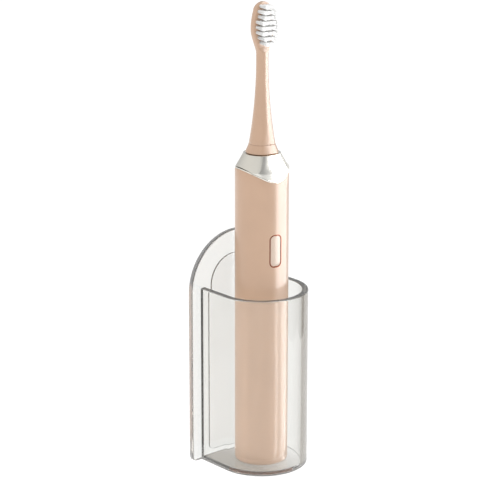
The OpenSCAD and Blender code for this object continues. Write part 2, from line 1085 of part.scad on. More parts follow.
back_plate();
cup_wall();
cup_floor();
adhesive_pad();
handle_housing();
collar();
collar_trim();
bottom_cap();
base_seal();
button_bezel();
button_seal();
chassis();
motor_clamp();
board_screws();
battery_cell();
battery_tabs();
circuit_board();
board_parts();
tact_switch();
lead_wires();
charging_coil();
coil_bobbin();
coil_shield();
motor_can();
motor_end_cap();
motor_coil();
motor_dampers();
front_bush();
rear_bush();
shaft_seal();
button_cap();
switch_plunger();
drive_shaft();
rotor_magnet();
brush_sleeve();
base_ring();
shaft_socket();
outer_tufts();
inner_tufts();
tuft_anchors();
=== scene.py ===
import json
import math
import random

import bmesh
import bpy
from mathutils import Matrix, Vector


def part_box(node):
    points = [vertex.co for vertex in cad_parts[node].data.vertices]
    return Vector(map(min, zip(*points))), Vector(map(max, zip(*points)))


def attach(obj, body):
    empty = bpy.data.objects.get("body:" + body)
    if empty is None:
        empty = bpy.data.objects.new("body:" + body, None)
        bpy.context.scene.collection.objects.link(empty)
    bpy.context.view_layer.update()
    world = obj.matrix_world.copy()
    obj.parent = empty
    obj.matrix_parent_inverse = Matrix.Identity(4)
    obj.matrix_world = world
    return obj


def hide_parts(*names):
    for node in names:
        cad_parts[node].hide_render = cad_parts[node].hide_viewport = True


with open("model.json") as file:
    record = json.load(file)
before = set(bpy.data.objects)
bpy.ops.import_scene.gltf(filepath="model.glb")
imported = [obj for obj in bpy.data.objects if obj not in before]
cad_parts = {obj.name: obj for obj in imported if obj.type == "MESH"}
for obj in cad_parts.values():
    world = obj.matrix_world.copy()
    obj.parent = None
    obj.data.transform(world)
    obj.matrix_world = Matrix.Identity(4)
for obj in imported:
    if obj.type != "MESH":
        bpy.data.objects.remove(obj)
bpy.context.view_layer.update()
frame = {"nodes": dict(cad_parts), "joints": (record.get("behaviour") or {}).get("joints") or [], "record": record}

# ------------------------------------------------------------------ sizes from the frame

MM = 0.001
TAU = 2 * math.pi

plate_lo, plate_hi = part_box("back_plate")
cup_lo, cup_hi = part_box("cup_wall")
floor_lo, floor_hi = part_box("cup_floor")
pad_lo, pad_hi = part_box("adhesive_pad")
seal_lo, seal_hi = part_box("base_seal")
head_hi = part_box("brush_sleeve")[1]
brush_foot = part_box("bottom_cap")[0].z
brush_axis = (seal_lo + seal_hi) / 2
press = next(j for j in frame["joints"] if j["name"] == "button_press")["axis"]
brush_turn = math.atan2(press[0], press[1])

# The brush's own frame, in millimetres: z = 0 at the handle's underside, the button on the -Y side
TO_ROW = (
    Matrix.Translation((brush_axis.x, brush_axis.y, brush_foot))
    @ Matrix.Rotation(-brush_turn, 4, "Z")
    @ Matrix.Scale(MM, 4)
)

# Brush, in millimetres
HANDLE_R = 14.0
SHELL_IN_R = 12.4
CAP_H = 3.2
TONGUE_Z = 153.8
EDGE_SLOPE = math.radians(29.8)
EDGE_R = 12.0
TRIM_H = 0.7
COLLAR_Z = 159.3
COLLAR_TOP_Z = 167.2
COLLAR_TOP_R = 9.6
NOSE_R = 4.0
NOSE_TOP_Z = 170.2
BUTTON_Z = 117.65
RING_W = 7.2
RING_H = 17.5
RING_R = 2.7
RING_T = 0.5
HEAD_BASE_Z = 167.6
SLEEVE_Z = 172.0
BASE_RING_R = 8.6
SLEEVE_R = 6.8
NECK_R = 3.15
NECK_ARC_R = 250.0
NECK_ARC_Z = 215.0
CONE_SLOPE = 0.16
HOLLOW_R = 4.9
HOLLOW_TOP_Z = 177.0
SOCKET_R = 3.02
SOCKET_TOP_Z = 191.05
TOP_Z = (head_hi.z - brush_foot) / MM
HEAD_L = 23.0
HEAD_W = 12.6
HEAD_T = 5.4
PLATE_BACK = 3.6
HEAD_TIP_R = 4.8
HEAD_FOOT_H = 3.5
NECK_TOP_Z = TOP_Z - HEAD_L - HEAD_FOOT_H
WIDEST_SHARE = 0.6
TUFT_R = 0.8
TUFT_L = 7.5
TUFT_ROWS = (3, 4, 4, 5, 5, 5, 4, 3)
TUFT_PITCH = 2.65
TUFT_ACROSS = 2.1
TUFT_START = 2.0
FILAMENT_R = 0.12

# Inside of the collar, in millimetres
COLLAR_IN_R = 11.0
SHAFT_BORE_R = 2.92
SHAFT_BORE_Z = 165.0
COLLAR_HOLLOW_R = 6.0
COLLAR_HOLLOW_Z = 164.6

# The collar's gently curved front and back: half depths at three heights
FACET_LOW_Z = 150.0
FACET_LOW_D = 12.95
FACET_BEND_Z = 159.8
FACET_BEND_D = 12.2
FACET_TOP_D = 8.75
FACET_CURVE_R = 22.0
FACET_SWELL = 0.6
FACET_BLEND = 0.6
CONE_BLEND = 0.3

# The sleeve's cone, and the flats that fade out on it
CONE_TOP_Z = NECK_ARC_Z - CONE_SLOPE * NECK_ARC_R
CONE_TOP_R = NECK_R + CONE_SLOPE * CONE_SLOPE * NECK_ARC_R / 2
FLATS_RATIO = 0.906
FLATS_TOP_Z = 190.0
FLATS_TOP_D = 4.4
FLATS_SWELL = 0.2
FLATS_CURVE_R = 18.0
FLATS_BLEND = 0.2

# Clear holder, in millimetres
PLATE_EDGE_R = 0.75
CUP_EDGE_R = 0.7
FLOOR_EDGE_R = 0.25
PAD_EDGE_R = 0.25
FOOT_CORNER_R = 3.0
# A face runs along an axis when its normal's part on that axis is below this
RUNS_ALONG = 0.1


# ------------------------------------------------------------------ mesh helpers

def new_piece(name, verts, faces, matrix=TO_ROW, smooth_deg=35):
    """A mesh object from points in millimetres, in the brush's frame unless matrix says otherwise."""
    mesh = bpy.data.meshes.new(name)
    mesh.from_pydata([tuple(v) for v in verts], [], faces)
    mesh.transform(matrix)
    bm = bmesh.new()
    bm.from_mesh(mesh)
    bmesh.ops.remove_doubles(bm, verts=bm.verts, dist=1e-7)
    bmesh.ops.recalc_face_normals(bm, faces=bm.faces)
    bm.to_mesh(mesh)
    bm.free()
    mesh.shade_smooth()
    mesh.set_sharp_from_angle(angle=math.radians(smooth_deg))
    obj = bpy.data.objects.new(name, mesh)
    bpy.context.scene.collection.objects.link(obj)
    return obj


def loft(rings, cycle=False, cap_first=True, cap_last=True):
    """Faces between rings of equally many points. A cycle joins the last ring to the first."""
    n = len(rings[0])
    verts = [p for ring in rings for p in ring]
    faces = []
    count = len(rings)
    for i in range(count if cycle else count - 1):
        a = i * n
        b = ((i + 1) % count) * n
        for k in range(n):
            k2 = (k + 1) % n
            faces.append((a + k, a + k2, b + k2, b + k))
    if not cycle:
        if cap_first:
            faces.append(tuple(range(n))[::-1])
        if cap_last:
            faces.append(tuple(range((count - 1) * n, count * n)))
    return verts, faces


def angles(n):
    """Angles round the brush, 0 at the front, which is -Y."""
    return [TAU * i / n for i in range(n)]


def polar(r, a, z):
    return (r * math.sin(a), -r * math.cos(a), z)


def smooth_min(a, b, k):
    """The smaller of two lengths, with the corner between them rounded over k."""
    h = max(k - abs(a - b), 0.0) / k
    return min(a, b) - h * h * k / 4


def lerp(a, b, t):
    return a + (b - a) * t


def ease(t):
    """Smooth step from 0 to 1."""
    t = min(max(t, 0.0), 1.0)
    return t * t * (3 - 2 * t)


def quarter(steps):
    """(sine, cosine) pairs of a quarter turn."""
    turns = [math.pi / 2 * i / steps for i in range(steps + 1)]
    return [(math.sin(a), math.cos(a)) for a in turns]


def round_ring(n, r, z):
    """Points round the brush. The radius and the height are numbers, or functions of the angle."""
    return [polar(r(a) if callable(r) else r, a, z(a) if callable(z) else z) for a in angles(n)]


def arc(cx, cy, r, a0, a1, n):
    """Points of an arc from angle a0 to a1, in degrees."""
    turns = [math.radians(lerp(a0, a1, i / n)) for i in range(n + 1)]
    return [(cx + r * math.cos(a), cy + r * math.sin(a)) for a in turns]


def offset_outline(points, d):
    """A closed outline in a plane, moved inwards by d along its normals. Points run anticlockwise."""
    n = len(points)
    out = []
    for i in range(n):
        ax, ay = points[i - 1]
        bx, by = points[i]
        cx, cy = points[(i + 1) % n]
        e1 = Vector((bx - ax, by - ay)).normalized()
        e2 = Vector((cx - bx, cy - by)).normalized()
        n1 = Vector((-e1.y, e1.x))
        n2 = Vector((-e2.y, e2.x))
        m = n1 + n2
        m = m / max(m.dot(n1), 1e-6)
        out.append((bx + m.x * d, by + m.y * d))
    return out


def boolean(obj, other, operation, smooth_deg):
    """Joins another object's mesh to obj's, or cuts it out, and removes the other object."""
    mod = obj.modifiers.new("boolean", "BOOLEAN")
    mod.operation = operation
    mod.solver = "EXACT"
    mod.object = other
    bpy.context.view_layer.update()
    deps = bpy.context.evaluated_depsgraph_get()
    mesh = bpy.data.meshes.new_from_object(obj.evaluated_get(deps))
    obj.modifiers.clear()
    obj.data = mesh
    bpy.data.objects.remove(other)
    mesh.shade_smooth()
    mesh.set_sharp_from_angle(angle=math.radians(smooth_deg))


def finish_piece(obj, body, slot, material, *nodes):
    """Gives the piece its material, lets it ride its body and stand for its CAD nodes. The slot argument is not
    used.
    """
    obj.data.materials.clear()
    obj.data.materials.append(material)
    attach(obj, body)
    if nodes:
        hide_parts(*nodes)
    return obj


def weighted(obj):
    """Keeps broad flat faces flat beside rounded edges."""
    mod = obj.modifiers.new("flat_faces", "WEIGHTED_NORMAL")
    mod.keep_sharp = True
    mod.weight = 100
    return obj


# ------------------------------------------------------------------ material helpers

class Nodes:
    """A short way to write a node material."""

    def __init__(self, name):
        self.mat = bpy.data.materials.new(name)
        self.mat.use_nodes = True
        self.tree = self.mat.node_tree
        self.shader = self.tree.nodes["Principled BSDF"]
        coords = self.tree.nodes.new("ShaderNodeTexCoord")
        self.coords = coords.outputs["Object"]

    def add(self, kind, inputs=None, **props):
        node = self.tree.nodes.new(kind)
        for key, value in props.items():
            setattr(node, key, value)
        for key, value in (inputs or {}).items():
            self.link(node.inputs[key], value)
        return node

    def link(self, socket, value):
        if isinstance(value, bpy.types.NodeSocket):
            self.tree.links.new(value, socket)
        elif isinstance(value, bpy.types.Node):
            self.tree.links.new(value.outputs[0], socket)
        else:
            socket.default_value = value

    def set(self, **sockets):
        for key, value in sockets.items():
            self.link(self.shader.inputs[key.replace("_", " ")], value)

    def noise(self, scale, detail=2.0, rough=0.5, vector=None):
        return self.add(
            "ShaderNodeTexNoise",
            {"Vector": vector or self.coords, "Scale": scale, "Detail": detail, "Roughness": rough},
        ).outputs["Fac"]

    def remap(self, value, lo, hi, from_lo=0.3, from_hi=0.7):
        node = self.add("ShaderNodeMapRange", {"Value": value, "From Min": from_lo, "From Max": from_hi})
        node.inputs["To Min"].default_value = lo
        node.inputs["To Max"].default_value = hi
        return node.outputs["Result"]

    def tint(self, factor, first, second):
        """A colour between two others by factor. Each of the two is a colour or a socket."""
        node = self.add("ShaderNodeMix", {"Factor": factor}, data_type="RGBA")
        for key, colour in (("A", first), ("B", second)):
            self.link(node.inputs[key], colour if isinstance(colour, bpy.types.NodeSocket) else (*colour, 1))
        return node.outputs["Result"]

    def attribute(self, name):
        return self.add("ShaderNodeAttribute", attribute_name=name).outputs["Fac"]

    def calc(self, operation, a, b):
        return self.add("ShaderNodeMath", {0: a, 1: b}, operation=operation).outputs[0]

    def bump(self, height, strength, distance):
        node = self.add("ShaderNodeBump", {"Height": height, "Strength": strength, "Distance": distance})
        self.link(self.shader.inputs["Normal"], node.outputs["Normal"])

    def stretched(self, x, y, z):
        """Object coordinates scaled by axis, for grain that runs one way."""
        return self.add("ShaderNodeMapping", {"Vector": self.coords, "Scale": (x, y, z)}).outputs["Vector"]


def rgb(r, g, b):
    """Screen colour, 0 to 255, as linear light."""
    return tuple(((c / 255 + 0.055) / 1.055) ** 2.4 if c > 10 else c / 255 / 12.92 for c in (r, g, b))


def pearl_plastic(name, base, rough=0.30):
    """Moulded plastic with a fine pearl in its lacquer."""
    m = Nodes(name)
    fleck = m.noise(9000, 1, 0.4)
    cloud = m.noise(60, 2, 0.5)
    dark = tuple(c * 0.965 for c in base)
    light = tuple(min(c * 1.02, 1) for c in base)
    m.set(Base_Color=m.tint(m.remap(cloud, 0, 1), dark, light))
    m.set(Roughness=m.remap(fleck, rough - 0.03, rough + 0.05))
    m.set(Specular_IOR_Level=0.5, Coat_Weight=0.35, Coat_Roughness=0.16)
    m.bump(fleck, 0.03, 0.00002)
    return m.mat


def satin_metal(name, base, rough, grain=1.0):
    """Plated metal with a faint brushed grain."""
    m = Nodes(name)
    grain_noise = m.noise(500, 3, 0.6, m.stretched(8, 8, 0.6 * grain))
    cloud = m.noise(90, 2)
    m.set(Metallic=1.0, Base_Color=m.tint(m.remap(cloud, 0, 1), tuple(c * 0.96 for c in base), base))
    m.set(Roughness=m.remap(grain_noise, rough - 0.04, rough + 0.05))
    m.bump(grain_noise, 0.02, 0.00002)
    return m.mat


def plain_moulding(name, base, rough=0.45, scale=700):
    """Matt moulded plastic or rubber with a fine eroded texture."""
    m = Nodes(name)
    grit = m.noise(scale, 4, 0.6)
    m.set(Base_Color=m.tint(m.remap(grit, 0, 1), tuple(c * 0.86 for c in base), base))
    m.set(Roughness=m.remap(grit, rough - 0.06, rough + 0.08))
    m.bump(grit, 0.15, 0.00005)
    return m.mat


def winding(name, base):
    """Enamelled wire, wound in level turns."""
    m = Nodes(name)
    turns = m.add(
        "ShaderNodeTexWave",
        {"Vector": m.coords, "Scale": 520.0, "Distortion": 0.4},
        bands_direction="Z",
    ).outputs["Fac"]
    # Darker in the grooves between turns: painted shade
    m.set(Base_Color=m.tint(turns, tuple(c * 0.45 for c in base), base), Metallic=0.7, Roughness=0.32)
    m.bump(turns, 0.7, 0.0001)
    return m.mat


def board(name):
    """Green solder mask over copper tracks."""
    m = Nodes(name)
    tracks = m.add(
        "ShaderNodeTexBrick",
        {"Vector": m.stretched(1, 1, 0.5), "Scale": 420.0, "Mortar Size": 0.06, "Mortar Smooth": 0.3},
    ).outputs["Fac"]
    m.set(Base_Color=m.tint(tracks, (0.015, 0.13, 0.055), (0.03, 0.26, 0.11)), Roughness=0.35)
    m.bump(tracks, 0.3, 0.00004)
    return m.mat


# Colours of the acrylic's rounded edges (painted shade), the plate's sawn side, the cup floor's front rim (a
# painted reflection of the handle) and the gel's rim (painted shade)
EDGE_PAINTED_SHADE = (0.34, 0.32, 0.29)
SIDE_TINT = (0.70, 0.70, 0.70)
FLOOR_RIM_PAINTED_REFLECTION = (0.22, 0.08, 0.035)
PAD_RIM_PAINTED_SHADE = (0.10, 0.09, 0.085)
# Shares of the light that pass clear acrylic, a satin side and a rounded edge
CLEAR_SHARE = 0.975
SIDE_SHARE = 0.7
EDGE_SHARE = 0.6
SIDE_ROUGHNESS = 0.3


def clear_acrylic(name, dark, light, side_tint, across=None):
    """Acrylic with painted shade on its rounded edges, and satin sides. Its tint varies faintly, or runs across it
    in x from dark to light as painted shade.
    """
    m = Nodes(name)
    haze = m.noise(35, 3, 0.6)
    swirl = m.noise(14, 2, 0.5)
    edge = m.attribute("edge")
    side = m.attribute("side")
    share = m.remap(swirl, 0, 1)
    if across:
        share = m.remap(m.add("ShaderNodeSeparateXYZ", {0: m.coords}).outputs["X"], 0, 1, *across)
    # On the cup floor the side colour is a painted reflection of the handle on its front rim
    sawn = m.tint(side, m.tint(share, dark, light), side_tint)
    satin = m.remap(side, 0.0, SIDE_ROUGHNESS, 0.0, 1.0)
    side_passes = m.remap(side, CLEAR_SHARE, SIDE_SHARE, 0.0, 1.0)
    edge_passes = m.remap(edge, 1.0, EDGE_SHARE, 0.0, 1.0)
    # The rounded edges are painted with shade
    m.set(Base_Color=m.tint(edge, sawn, EDGE_PAINTED_SHADE), IOR=1.49)
    m.set(Roughness=m.calc("ADD", m.remap(haze, 0.0, 0.02), satin))
    m.set(Transmission_Weight=m.calc("MULTIPLY", side_passes, edge_passes))
    m.bump(swirl, 0.02, 0.0002)
    return m.mat


def gel_pad(name):
    """Clear double-sided gel with painted shade on its rim."""
    m = Nodes(name)
    cloud = m.noise(50, 3)
    gel = m.tint(m.remap(cloud, 0, 1), (0.93, 0.93, 0.93), (0.96, 0.96, 0.96))
    # The rim is painted with shade
    m.set(Base_Color=m.tint(m.attribute("rim"), gel, PAD_RIM_PAINTED_SHADE))
    m.set(Roughness=m.remap(cloud, 0.04, 0.10), IOR=1.42, Transmission_Weight=1.0)
    m.bump(cloud, 0.05, 0.0002)
    return m.mat


def bristle_nylon(name):
    """White nylon filament that lets light through."""
    m = Nodes(name)
    noise = m.noise(3000, 1)
    m.set(Base_Color=m.tint(m.remap(noise, 0, 1), rgb(248, 248, 246), rgb(254, 254, 253)))
    m.set(Roughness=m.remap(noise, 0.3, 0.45), Specular_IOR_Level=0.4)
    m.set(Subsurface_Weight=0.7, Subsurface_Scale=0.0008, Subsurface_Radius=(1, 1, 1))
    return m.mat


mats = {
    "champagne_plastic": pearl_plastic("champagne_plastic", rgb(200, 166, 140)),
    "button_plastic": pearl_plastic("button_plastic", rgb(212, 190, 172), 0.26),
    "silver_plating": satin_metal("silver_plating", rgb(232, 230, 224), 0.22),
    "bright_trim": satin_metal("bright_trim", rgb(250, 246, 238), 0.10),
    "copper_trim": satin_metal("copper_trim", rgb(120, 66, 46), 0.28),
    "clear_acrylic": clear_acrylic(
        "clear_acrylic", (0.968, 0.970, 0.958), (0.980, 0.981, 0.972), SIDE_TINT
    ),
    # The cup floor: darker on the left as painted shade of the brush, with a painted reflection of the handle on
    # its front rim
    "floor_acrylic": clear_acrylic(
        "floor_acrylic", (0.46, 0.43, 0.39), (0.94, 0.93, 0.92), FLOOR_RIM_PAINTED_REFLECTION, across=(-0.012, 0.018)
    ),
    "pad_gel": gel_pad("pad_gel"),
    "bristle_white": bristle_nylon("bristle_white"),
    "anchor_brass": satin_metal("anchor_brass", (0.80, 0.62, 0.30), 0.25),
    "black_rubber": plain_moulding("black_rubber", (0.03, 0.03, 0.03), 0.6),
    "clear_silicone": plain_moulding("clear_silicone", (0.72, 0.72, 0.70), 0.5),
    "frame_plastic": plain_moulding("frame_plastic", (0.42, 0.47, 0.42)),
    "steel": satin_metal("steel", (0.62, 0.62, 0.63), 0.25),
    "cell_sleeve": plain_moulding("cell_sleeve", (0.04, 0.16, 0.40), 0.25, 200),
    "nickel": satin_metal("nickel", (0.66, 0.64, 0.60), 0.22),
    "board_green": board("board_green"),
    "chip_black": plain_moulding("chip_black", (0.02, 0.02, 0.022), 0.5, 1500),
    "copper_winding": winding("copper_winding", (0.72, 0.30, 0.12)),
    "bobbin_plastic": plain_moulding("bobbin_plastic", (0.80, 0.76, 0.66), 0.4),
    "ferrite": plain_moulding("ferrite", (0.05, 0.05, 0.055), 0.5, 1200),
    "wire_red": plain_moulding("wire_red", (0.45, 0.02, 0.02), 0.4, 500),
    "bush_bronze": satin_metal("bush_bronze", (0.62, 0.42, 0.20), 0.38),
    "magnet": satin_metal("magnet", (0.45, 0.45, 0.47), 0.3),
}


# ------------------------------------------------------------------ clear holder

def arched_outline(half_w, top, foot, foot_r):
    """Outline of the plate seen from the front, anticlockwise: round top, rounded foot corners."""
    mid_z = top - half_w
    pts = arc(half_w - foot_r, foot + foot_r, foot_r, -90, 0, 8)
    pts += arc(0, mid_z, half_w, 0, 180, 96)
    pts += arc(-half_w + foot_r, foot + foot_r, foot_r, 180, 270, 8)
    return pts


def slab(name, outline, y_front, y_back, edge_r, steps=7):
    """A plate in the XZ plane with rounded edges, from an outline in x and z."""
    turns = quarter(steps)
    levels = [(edge_r * (1 - s), y_front + edge_r * (1 - c)) for s, c in turns]
    levels += [(edge_r * (1 - c), y_back - edge_r * (1 - s)) for s, c in turns]
    rings = [[(x, y, z) for x, z in offset_outline(outline, inset)] for inset, y in levels]
    return new_piece(name, *loft(rings), matrix=Matrix.Scale(MM, 4))


def edge_rings(outline, z, up, edge_r, steps, inward=1):
    """Rings of a rounded edge, from the full outline to the flat at z. Up is 1 for a top, -1 for a foot."""
    return [
        [(x, y, z - up * edge_r * (1 - s)) for x, y in offset_outline(outline, inward * edge_r * (1 - c))]
        for s, c in quarter(steps)
    ]


def cup_outline(half_w, axis_y, back_y):
    """Outline of the cup seen from above, anticlockwise: round front, straight sides."""
    return arc(0, axis_y, half_w, 180, 360, 120) + [(half_w, back_y), (-half_w, back_y)]


def mark_edges(obj):
    """Stores how much each face belongs to a rounded edge, and whether it is the plate's sawn side."""
    mesh = obj.data
    edge = mesh.attributes.new("edge", "FLOAT", "FACE")
    side = mesh.attributes.new("side", "FLOAT", "FACE")
    margin = 0.00002
    # What a face in the middle of a rounded edge lacks to be flat
    lack_at_middle = 0.29
    for poly in mesh.polygons:
        n = poly.normal
        if poly.center.y > plate_lo.y + margin:
            flat = max(abs(n.y), math.hypot(n.x, n.z))
            side.data[poly.index].value = 1.0 if abs(n.y) < RUNS_ALONG else 0.0
        else:
            flat = max(abs(n.z), math.hypot(n.x, n.y))
        edge.data[poly.index].value = min((1 - flat) / lack_at_middle, 1.0)


def clear_holder():
    """Back plate and cup wall in one clear piece, with rounded edges that carry painted shade."""
    half_w = cup_hi.x / MM
    axis_y = cup_lo.y / MM + half_w
    plate_front = plate_lo.y / MM
    foot_z = cup_lo.z / MM
    rim_z = cup_hi.z / MM
    # The tube closes inside the plate, so only the U of the wall shows
    outer_bond = 2.0
    inner_bond = 0.5
    steps = 6

    outline = arched_outline(plate_hi.x / MM, plate_hi.z / MM, plate_lo.z / MM, FOOT_CORNER_R)
    plate = slab("clear_holder", outline, plate_front, plate_hi.y / MM, PLATE_EDGE_R)
    outer = cup_outline(half_w, axis_y, plate_front + outer_bond)
    inner = cup_outline(-floor_lo.x / MM, axis_y, plate_front + inner_bond)
    rings = edge_rings(outer, foot_z, -1, CUP_EDGE_R, steps)[::-1]
    rings += edge_rings(outer, rim_z, 1, CUP_EDGE_R, steps)
    rings += edge_rings(inner, rim_z, 1, CUP_EDGE_R, steps, inward=-1)[::-1]
    rings += edge_rings(inner, foot_z, -1, CUP_EDGE_R, steps, inward=-1)
    wall = new_piece("cup_body", *loft(rings, cycle=True), matrix=Matrix.Scale(MM, 4))
    boolean(plate, wall, "UNION", 35)
    mark_edges(plate)
    weighted(plate)
    plate.visible_shadow = False
    return finish_piece(plate, "holder", "clear_acrylic", mats["clear_acrylic"], "back_plate", "cup_wall")


def clear_floor():
    """Floor of the cup: a clear disc let into the wall with a hairline joint."""
    hair = 0.04
    half_w = floor_hi.x / MM
    outline = cup_outline(half_w - hair, floor_lo.y / MM + half_w, floor_hi.y / MM - hair)
    rings = edge_rings(outline, floor_lo.z / MM, -1, FLOOR_EDGE_R, 4)[::-1]
    rings += edge_rings(outline, floor_hi.z / MM, 1, FLOOR_EDGE_R, 4)
    disc = new_piece("clear_floor", *loft(rings), matrix=Matrix.Scale(MM, 4))
    mark_edges(disc)
    # A painted reflection of the handle's colour on the left of the rim, up to just past the front
    past_front = 0.11
    glint = disc.data.attributes["side"].data
    for poly in disc.data.polygons:
        n = poly.normal
        forward = n.y < -0.02 and abs(n.z) < RUNS_ALONG
        glint[poly.index].value = 1.0 if forward and n.x < past_front else 0.0
    weighted(disc)
    disc.visible_shadow = False
    return finish_piece(disc, "holder", "clear_acrylic", mats["floor_acrylic"], "cup_floor")


def adhesive_pad():
    """Gel pad behind the plate, a hair clear of it."""
    hair = 0.03
    outline = arched_outline(pad_hi.x / MM - hair, pad_hi.z / MM, pad_lo.z / MM + hair, FOOT_CORNER_R)
    pad = slab("adhesive_gel_pad", outline, pad_lo.y / MM + hair, pad_hi.y / MM, PAD_EDGE_R, 4)
    rim = pad.data.attributes.new("rim", "FLOAT", "FACE")
    for poly in pad.data.polygons:
        rim.data[poly.index].value = 1 - poly.normal.y ** 2
    weighted(pad)
    pad.visible_shadow = False
    return finish_piece(pad, "holder", "pad_gel", mats["pad_gel"], "adhesive_pad")


# ------------------------------------------------------------------ handle

def edge_z(a, r=HANDLE_R, lift=0.0):
    """Height of the collar's edge at an angle round the handle: two slopes with a round bottom."""
    x = abs(r * math.sin(a))
    touch = EDGE_R * math.sin(EDGE_SLOPE)
    if x <= touch:
        return TONGUE_Z + lift + EDGE_R - math.sqrt(EDGE_R * EDGE_R - x * x)
    tip = TONGUE_Z + lift - EDGE_R * (1 / math.cos(EDGE_SLOPE) - 1)
    return tip + x * math.tan(EDGE_SLOPE)


def trim_z(a):
    """Height of the trim's upper edge, where the collar's metal starts."""
    return edge_z(a, lift=TRIM_H)


def handle_shell():
    """Housing: a tube with rounded edges whose top follows the collar's edge."""
    n = 192
    edge = 0.12
    levels = 24
    # (radius, share of the way from foot to top, step beyond that)
    path = [
        (SHELL_IN_R, 0.0, 1.0),
        (HANDLE_R - edge, 0.0, 0.0),
        (HANDLE_R - edge * 0.3, 0.0, edge * 0.3),
        (HANDLE_R, 0.0, edge),
    ]
    path += [(HANDLE_R, i / levels, 0.0) for i in range(1, levels)]
    path += [
        (HANDLE_R, 1.0, -edge),
        (HANDLE_R - edge * 0.3, 1.0, -edge * 0.3),
        (HANDLE_R - edge, 1.0, 0.0),
        (SHELL_IN_R, 1.0, 0.0),
    ]
    rings = [
        round_ring(n, r, lambda a, r=r, t=t, dz=dz: lerp(CAP_H, edge_z(a, r), t) + dz)
        for r, t, dz in path
    ]
    shell = new_piece("handle_shell", *loft(rings, cycle=True))
    outline = pill(RING_W, RING_H, RING_R, 12)
    ends = (-HANDLE_R - 2, -HANDLE_R + 4)
    opening = new_piece("button_opening", *loft([[(u, y, BUTTON_Z + v) for u, v in outline] for y in ends]))
    boolean(shell, opening, "DIFFERENCE", 30)
    return finish_piece(shell, "handle", "champagne_plastic", mats["champagne_plastic"], "handle_housing")


def pill(w, h, r, n):
    """Rounded rectangle in the plane of the button, anticlockwise."""
    pts = []
    for cx, cy, a in ((1, -1, -90), (1, 1, 0), (-1, 1, 90), (-1, -1, 180)):
        pts += arc(cx * (w / 2 - r), cy * (h / 2 - r), r, a, a + 90, n)
    return pts


def on_handle(u, v, r):
    """A point of the button's plane wrapped on the handle at radius r."""
    return (u, -math.sqrt(max(r * r - u * u, 0.0)), BUTTON_Z + v)


def button_bezel():
    """Copper ring round the button, with rounded shoulders."""
    fit = 0.02
    outer = pill(RING_W - fit, RING_H - fit, RING_R, 12)
    proud = 0.07
    deep = -1.5
    profile = [(0.0, deep), (0.0, 0.0), (0.08, proud)]
    profile += [(RING_T - 0.1, proud), (RING_T, -0.02), (RING_T, deep)]
    rings = [
        [on_handle(u, v, HANDLE_R + up) for u, v in offset_outline(outer, inset)]
        for inset, up in profile
    ]
    ring = new_piece("button_ring", *loft(rings, cycle=True))
    return finish_piece(ring, "handle", "copper_trim", mats["copper_trim"], "button_bezel")


def button_cap():
    """Button with rounded shoulders and a slightly dished face."""
    gap = 0.1
    shrink = RING_T + gap
    outline = pill(RING_W - 2 * shrink, RING_H - 2 * shrink, RING_R - shrink, 12)
    depth = 2.4
    face_inset = 0.3
    face = -0.05
    dish = 0.06
    rings = [[on_handle(u, v, HANDLE_R - depth) for u, v in outline]]
    for inset, up in ((0.0, -0.35), (0.04, -0.22), (0.14, -0.10), (face_inset, face)):
        rings.append([on_handle(u, v, HANDLE_R + up) for u, v in offset_outline(outline, inset)])
    inner = offset_outline(outline, face_inset)
    for size in (0.8, 0.6, 0.4, 0.2, 0.05):
        r = HANDLE_R + face - dish * (1 - size * size)
        rings.append([on_handle(u * size, v * size, r) for u, v in inner])
    cap = new_piece("power_button", *loft(rings))
    return finish_piece(cap, "button", "champagne_plastic", mats["button_plastic"], "button_cap")


def facet_r(a, d, curve_r):
    """Radius at which a ray at angle a meets a gently curved face whose half depth at the middle is d."""
    c = abs(math.cos(a))
    s = math.sin(a)
    if c < 1e-3:
        return 1e3
    # r c + (r s)^2 / (2 R) = d
    q = s * s / (2 * curve_r)
    if q < 1e-9:
        return d / c
    return (-c + math.sqrt(c * c + 4 * q * d)) / (2 * q)


def collar_r(a, z):
    """Radius of the collar: a cylinder that turns into a cone, with a flat front and back."""
    cone = HANDLE_R - max(z - COLLAR_Z, 0.0) * (HANDLE_R - COLLAR_TOP_R) / (COLLAR_TOP_Z - COLLAR_Z)
    low = FACET_BEND_D + (z - FACET_BEND_Z) * (FACET_BEND_D - FACET_LOW_D) / (FACET_BEND_Z - FACET_LOW_Z)
    high = FACET_BEND_D + (z - FACET_BEND_Z) * (FACET_TOP_D - FACET_BEND_D) / (COLLAR_TOP_Z - FACET_BEND_Z)
    d = smooth_min(low, high, FACET_BLEND) + FACET_SWELL
    return smooth_min(cone, facet_r(a, d, FACET_CURVE_R), CONE_BLEND)


def collar():
    """Plated collar with its flats, rounded top edge and the nose that the brush head fits over."""
    n = 256
    low_edge = 0.12
    top_edge = 0.35
    nose_edge = 0.3
    levels = 32
    rings = [
        round_ring(n, COLLAR_IN_R, lambda a: edge_z(a, COLLAR_IN_R, TRIM_H)),
        round_ring(n, lambda a: collar_r(a, trim_z(a)) - low_edge, trim_z),
    ]
    for i in range(levels + 1):
        t = (i / levels) ** 0.9
        heights = [lerp(trim_z(a) + low_edge, COLLAR_TOP_Z - top_edge, t) for a in angles(n)]
        rings.append([polar(collar_r(a, z), a, z) for a, z in zip(angles(n), heights)])
    for s, c in quarter(5)[1:]:
        inset = top_edge * (1 - c)
        z = COLLAR_TOP_Z - top_edge * (1 - s)
        rings.append(round_ring(n, lambda a, d=inset: collar_r(a, COLLAR_TOP_Z - top_edge) - d, z))
    for r, z in (
        (NOSE_R + nose_edge, COLLAR_TOP_Z),
        (NOSE_R, COLLAR_TOP_Z + nose_edge),
        (NOSE_R, NOSE_TOP_Z - nose_edge),
        (NOSE_R - nose_edge, NOSE_TOP_Z),
        (SHAFT_BORE_R, NOSE_TOP_Z),
        (SHAFT_BORE_R, SHAFT_BORE_Z),
        (COLLAR_HOLLOW_R, COLLAR_HOLLOW_Z),
    ):
        rings.append(round_ring(n, r, z))
    piece = new_piece("silver_collar", *loft(rings, cycle=True), smooth_deg=50)
    return finish_piece(piece, "handle", "silver_plating", mats["silver_plating"], "collar")


